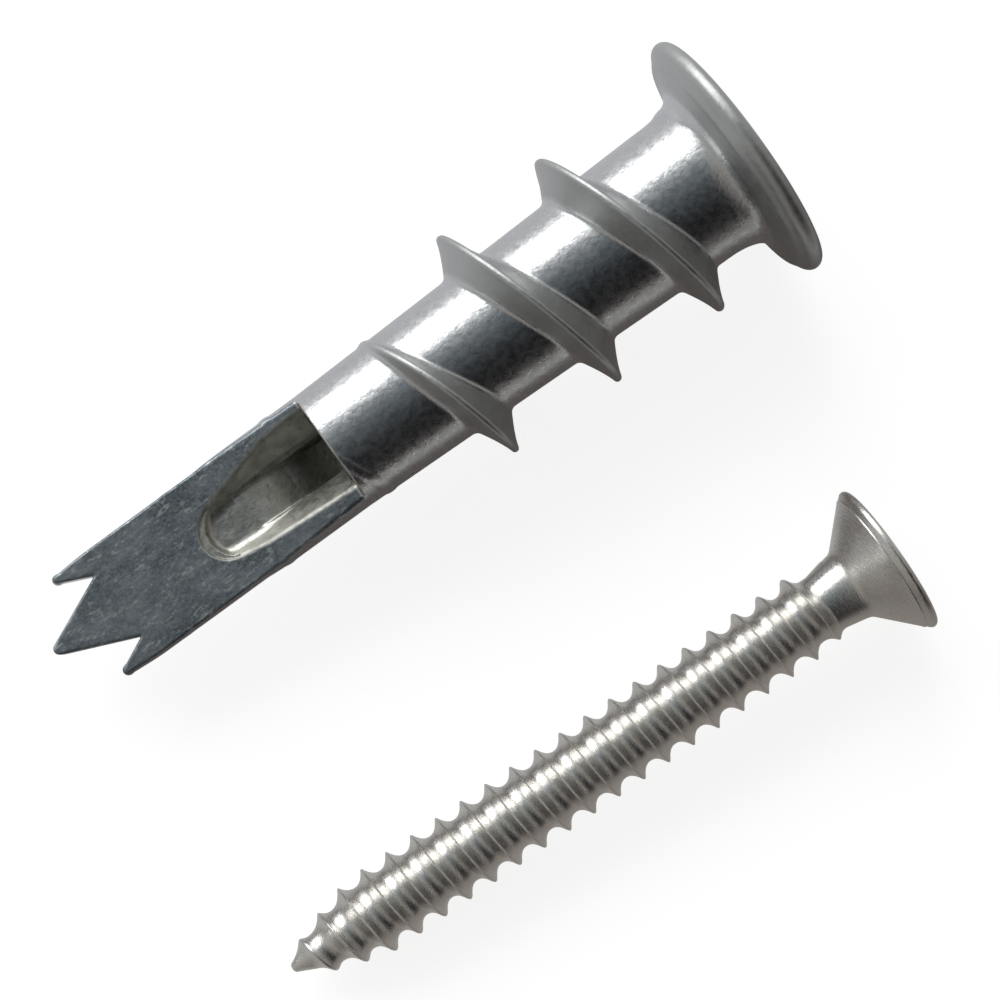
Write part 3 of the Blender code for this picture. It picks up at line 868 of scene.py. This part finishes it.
def zinc():
    """Die-cast zinc: bright on the barrel, matt on fins and flange, with a painted dark reflection
    on the blade's face and painted shade in the hollows.
    """
    n = Surface("cast_zinc")
    face, hollow, raised = (n.attribute(name) for name in ("blade_face", "hollow", "raised"))
    grain = n.noise(0.32, 3, 0.55)
    fine = n.noise(0.14, 4, 0.6)
    mottle = n.noise(0.8, 3)
    colour = n.mixed(raised, n.mixed(mottle, *BARREL_TONES), n.mixed(grain, *MATT_TONES))
    # Painted dark reflection on the blade's face.
    colour = n.mixed(face, colour, blade_face_grain_and_dark_reflection(n, fine))
    # Painted shade in the trough and bore.
    colour = n.mixed(hollow, colour, trough_painted_shade(n, mottle))
    n.link(colour, n.shader.inputs["Base Color"])
    n.shader.inputs["Metallic"].default_value = 1.0

    rough = n.between(grain, *NOISE_SPAN, 0.22, 0.36)
    for mark, rougher in ((raised, 0.17), (face, 0.2), (hollow, 0.1)):
        rough = n.math("ADD", rough, n.math("MULTIPLY", mark, rougher))
    n.link(rough, n.shader.inputs["Roughness"])
    speckle = n.math("MULTIPLY", fine, n.between(hollow, 0, 1, 1, 4))
    n.link(n.bump(speckle, 0.003, n.bump(grain, 0.02)), n.shader.inputs["Normal"])
    return n.material


def steel():
    """Bright zinc-plated steel, slightly warm, with fine rolling marks round the axis."""
    n = Surface("bright_steel")
    streak = n.noise(0.22, 4, 0.65, (3, 0.5, 0.5))
    fine = n.noise(0.1, 4, 0.7)
    n.link(n.mixed(n.noise(0.9, 3), *STEEL_TONES), n.shader.inputs["Base Color"])
    n.shader.inputs["Metallic"].default_value = 1.0
    n.link(n.between(streak, *NOISE_SPAN, 0.2, 0.34), n.shader.inputs["Roughness"])
    n.link(n.bump(streak, 0.02, n.bump(fine, 0.006)), n.shader.inputs["Normal"])
    return n.material


def floor():
    """A pale table. In reflections it glows instead, as a dimmer one with painted shade in the gap
    in front of the anchor, so that the pieces keep their contrast.
    """
    bpy.ops.mesh.primitive_plane_add(size=4)
    plane = bpy.context.object
    plane.name = "floor"
    n = Surface("floor")
    seen = n.add("ShaderNodeLightPath").outputs["Is Camera Ray"]
    # Painted light: the floor glows in reflections, with painted shade in the gap in front of the
    # anchor.
    mirrored_glow_and_shade = n.ramp(n.math("MULTIPLY", n.axes["Y"], 1 / MM), MIRRORED_GLOW_AND_SHADE)
    n.link(n.mixed(seen, (0, 0, 0), FLOOR_COLOUR), n.shader.inputs["Base Color"])
    n.link(n.mixed(seen, mirrored_glow_and_shade, FLOOR_GLOW), n.shader.inputs["Emission Color"])
    n.shader.inputs["Emission Strength"].default_value = 1.0
    n.shader.inputs["Roughness"].default_value = 0.9
    n.shader.inputs["Specular IOR Level"].default_value = 0.0
    plane.data.materials.append(n.material)


def studio():
    """Soft strips of light and shade that run along the pieces, as a lamp and cards would give."""
    world = bpy.data.worlds.new("studio")
    bpy.context.scene.world = world
    n = Nodes(world, "Generated")
    angle = n.math("ARCTAN2", n.axes["Y"], n.axes["Z"])
    across = n.ramp(n.math("MULTIPLY", angle, math.degrees(1)), ACROSS)
    endways = n.between(n.math("ABSOLUTE", n.axes["X"]), *ENDS_TAKE_OVER)
    lit = n.mixed(endways, across, n.ramp(n.axes["Y"], ENDS))
    seen = n.add("ShaderNodeLightPath").outputs["Is Camera Ray"]
    n.link(n.mixed(seen, lit, BACKDROP_COLOUR), n.tree.nodes["Background"].inputs["Color"])
    bpy.context.scene.view_settings.view_transform = "Standard"


def camera():
    """Looks almost straight down, from above the space between the two pieces."""
    away = Vector((-math.sin(HEADING) * math.cos(ELEVATION),
                   -math.cos(HEADING) * math.cos(ELEVATION), math.sin(ELEVATION)))
    data = bpy.data.cameras.new("camera")
    data.sensor_width = 36
    data.lens = LENS
    data.clip_start = 0.01
    made = bpy.data.objects.new("camera", data)
    made.location = Vector(TARGET) + DISTANCE * away
    made.rotation_euler = (-away).to_track_quat("-Z", "Y").to_euler()
    bpy.context.scene.collection.objects.link(made)
    bpy.context.scene.camera = made


def main():
    """Replaces both CAD pieces by their finer skins, and sets the stage."""
    anchor = anchor_skin()
    place(anchor, "flange_face", (ANCHOR_LENGTH, 0, FLANGE_MOUNT_HEIGHT), ANCHOR_ROLL)
    anchor.data.materials.append(zinc())
    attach(anchor, "anchor")
    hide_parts("anchor_body")

    screw = screw_skin()
    place(screw, "screw_head_face", (SCREW_LENGTH, 0, SCREW_MOUNT_HEIGHT), 0)
    screw.data.materials.append(steel())
    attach(screw, "screw")
    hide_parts("screw")

    floor()
    studio()
    camera()


main()
